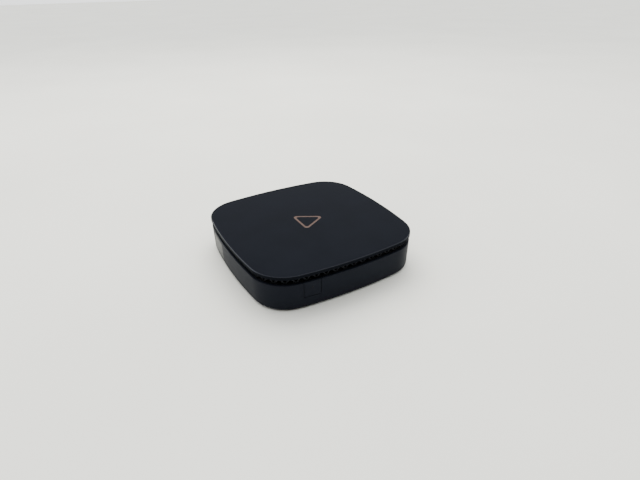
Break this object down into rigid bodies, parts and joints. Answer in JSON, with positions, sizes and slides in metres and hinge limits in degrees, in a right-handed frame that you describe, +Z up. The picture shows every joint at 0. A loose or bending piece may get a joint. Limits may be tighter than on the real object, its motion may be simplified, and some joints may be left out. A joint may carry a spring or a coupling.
{
  "type": "streaming media player",
  "caption": "Low rounded-square media box with a flat lid over a lattice vent band, a smooth moulded tray, a front power key, rear sockets and a fan inside.",
  "frame": {"origin": "on the standing surface under the middle of the case", "axes": "+Z up, -Y to the front wall with the power key, +Y to the rear sockets, +X to the right"},
  "size_m": [0.1648, 0.1648, 0.035],
  "materials": {
    "slate_abs": "fine matte moulded ABS, slate black",
    "black_abs": "matte black moulded ABS",
    "foot_rubber": "matte moulded rubber",
    "copper_ink": "satin copper-coloured inlay",
    "label_film": "blank silver-grey film",
    "light_pipe": "frosted clear acrylic",
    "steel": "zinc-plated steel",
    "board_mask": "green solder mask on glass epoxy",
    "chip_resin": "black moulding compound",
    "aluminium": "milled aluminium",
    "copper": "bare copper",
    "bearing_bronze": "sintered bronze",
    "pad_silicone": "soft grey silicone",
    "port_shell": "nickel-plated pressed steel"
  },
  "bodies": {
    "case": {"body_shell": "slate_abs", "bottom_cover": "black_abs", "foot_ring": "foot_rubber", "top_frame": "black_abs", "vent_ring": "black_abs", "top_cover": "slate_abs", "cover_emblem": "copper_ink", "side_label": "label_film", "key_switch": "chip_resin", "key_board": "board_mask", "main_board": "board_mask", "processor": "chip_resin", "thermal_pad": "pad_silicone", "heat_spreader": "aluminium", "heat_pipe": "copper", "fin_stack": "aluminium", "fan_housing": "black_abs", "fan_lid": "aluminium", "fan_bearing": "bearing_bronze", "fan_stator": "copper", "rear_panel": "black_abs", "audio_jack": "chip_resin", "power_jack": "chip_resin", "network_port": "port_shell", "video_port": "port_shell", "data_port_lower": "port_shell", "data_port_upper": "port_shell", "small_data_port": "port_shell", "memory_socket": "chip_resin", "memory_module": "board_mask", "wireless_card": "board_mask", "storage_module": "board_mask", "coin_cell_holder": "black_abs", "coin_cell": "steel", "antenna_1": "copper", "antenna_2": "copper", "base_screw_1": "steel", "base_screw_2": "steel", "base_screw_3": "steel", "base_screw_4": "steel", "frame_screw_1": "steel", "frame_screw_2": "steel", "frame_screw_3": "steel", "frame_screw_4": "steel", "lid_screw_1": "steel", "lid_screw_2": "steel", "lid_screw_3": "steel", "lid_screw_4": "steel", "board_screw_1": "steel", "board_screw_2": "steel", "board_screw_3": "steel", "board_screw_4": "steel", "fan_screw_1": "steel", "fan_screw_2": "steel", "fan_screw_3": "steel"},
    "fan_rotor": {"fan_rotor": "black_abs", "fan_shaft": "steel"},
    "power_key": {"power_key": "slate_abs", "status_light": "light_pipe", "switch_plunger": "chip_resin"}
  },
  "joints": [
    {"name": "fan_spin", "type": "hinge", "parent": "case", "child": "fan_rotor", "pos_m": [-0.045, 0.0195, 0.012], "axis": [0, 0, 1], "continuous": true},
    {"name": "power_press", "type": "slide", "parent": "case", "child": "power_key", "axis": [0, 1, 0], "range_m": [0, 0.0006], "stiffness_N_per_m": 900, "springref_m": -0.001}
  ]
}
